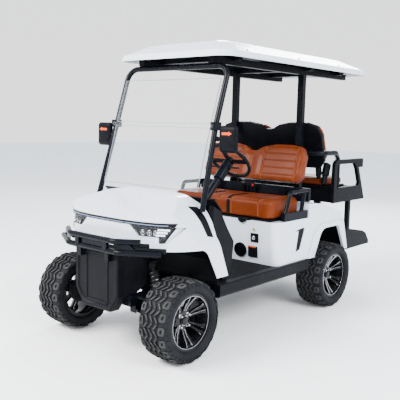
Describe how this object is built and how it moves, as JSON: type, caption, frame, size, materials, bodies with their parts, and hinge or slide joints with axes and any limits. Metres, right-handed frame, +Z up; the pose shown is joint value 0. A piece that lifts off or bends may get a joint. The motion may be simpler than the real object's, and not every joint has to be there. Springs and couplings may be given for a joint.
{
  "type": "golf cart",
  "caption": "Lifted four-seat golf cart with a rear-facing back seat, roof, clear screen, all-terrain tyres on alloy rims, steering front wheels and tipping seats.",
  "frame": {"origin": "on the ground, at the centre of the whole cart's outline in plan", "axes": "+X to the cart's left, -Y forwards, +Z up"},
  "size_m": [1.369, 3.11, 2.138],
  "materials": {
    "white_panel": "gloss",
    "black_plastic": "satin",
    "black_metal": "satin",
    "tyre": "matte",
    "alloy": "polished",
    "leather": "satin",
    "clear": "gloss",
    "lamp": "gloss",
    "mat": "matte",
    "casting": "matte",
    "casing": "matte"
  },
  "bodies": {
    "chassis": {"battery": "casing", "bumper": "black_metal", "bumper_panel": "black_plastic", "dash": "black_plastic", "floor_pan": "mat", "footrest": "black_plastic", "frame": "black_metal", "front_armrests": "black_plastic", "front_arms": "black_metal", "front_backrest": "leather", "front_cowl": "white_panel", "front_posts": "black_metal", "front_shocks": "casting", "headlamps": "lamp", "light_bar": "lamp", "mirrors": "black_plastic", "pedals": "black_plastic", "rear_axle": "casting", "rear_back_shell": "black_plastic", "rear_backrest": "leather", "rear_base": "black_metal", "rear_body": "white_panel", "rear_posts": "black_metal", "rear_sides": "black_plastic", "rear_springs": "casting", "roof": "white_panel", "roof_frame": "black_metal", "screen_bar": "clear", "seat_box_fittings": "black_plastic", "sills": "black_plastic", "steering_column": "black_metal", "windscreen": "clear"},
    "wheel_fl": {"tyre_fl": "tyre", "rim_fl": "alloy"},
    "wheel_fr": {"tyre_fr": "tyre", "rim_fr": "alloy"},
    "wheel_rl": {"tyre_rl": "tyre", "rim_rl": "alloy"},
    "wheel_rr": {"tyre_rr": "tyre", "rim_rr": "alloy"},
    "knuckle_l": {"knuckle_left": "casting"},
    "knuckle_r": {"knuckle_right": "casting"},
    "steering": {"steering_wheel": "black_plastic"},
    "seat_lid": {"front_cushion": "leather", "front_seat_pan": "black_plastic"},
    "rear_flip": {"rear_cushion": "leather", "rear_seat_pan": "black_plastic"}
  },
  "joints": [
    {"name": "steer_left", "type": "hinge", "parent": "chassis", "child": "knuckle_l", "pos_m": [0.42, -1.235, 0.275], "axis": [0, 0, 1], "range_deg": [-28, 28]},
    {"name": "steer_right", "type": "hinge", "parent": "chassis", "child": "knuckle_r", "pos_m": [-0.42, -1.235, 0.275], "axis": [0, 0, 1], "range_deg": [-28, 28]},
    {"name": "steering_turn", "type": "hinge", "parent": "chassis", "child": "steering", "pos_m": [0.27, -0.421, 1.262], "axis": [0, 0.7089, 0.7054], "range_deg": [-340, 340]},
    {"name": "spin_fl", "type": "hinge", "parent": "knuckle_l", "child": "wheel_fl", "pos_m": [0.528, -1.235, 0.275], "axis": [1, 0, 0], "continuous": true},
    {"name": "spin_fr", "type": "hinge", "parent": "knuckle_r", "child": "wheel_fr", "pos_m": [-0.528, -1.235, 0.275], "axis": [1, 0, 0], "continuous": true},
    {"name": "spin_rl", "type": "hinge", "parent": "chassis", "child": "wheel_rl", "pos_m": [0.55, 0.585, 0.275], "axis": [1, 0, 0], "continuous": true},
    {"name": "spin_rr", "type": "hinge", "parent": "chassis", "child": "wheel_rr", "pos_m": [-0.55, 0.585, 0.275], "axis": [1, 0, 0], "continuous": true},
    {"name": "seat_lid_tip", "type": "hinge", "parent": "chassis", "child": "seat_lid", "pos_m": [0, -0.229, 0.806], "axis": [1, 0, 0], "range_deg": [0, 60]},
    {"name": "rear_seat_flip", "type": "hinge", "parent": "chassis", "child": "rear_flip", "pos_m": [0, 1.115, 1.0063], "axis": [-1, 0, 0], "range_deg": [0, 180]}
  ],
  "couplings": [
    {"joint": "steer_right", "follows": "steer_left", "ratio": 1},
    {"joint": "steering_turn", "follows": "steer_left", "ratio": 12}
  ]
}
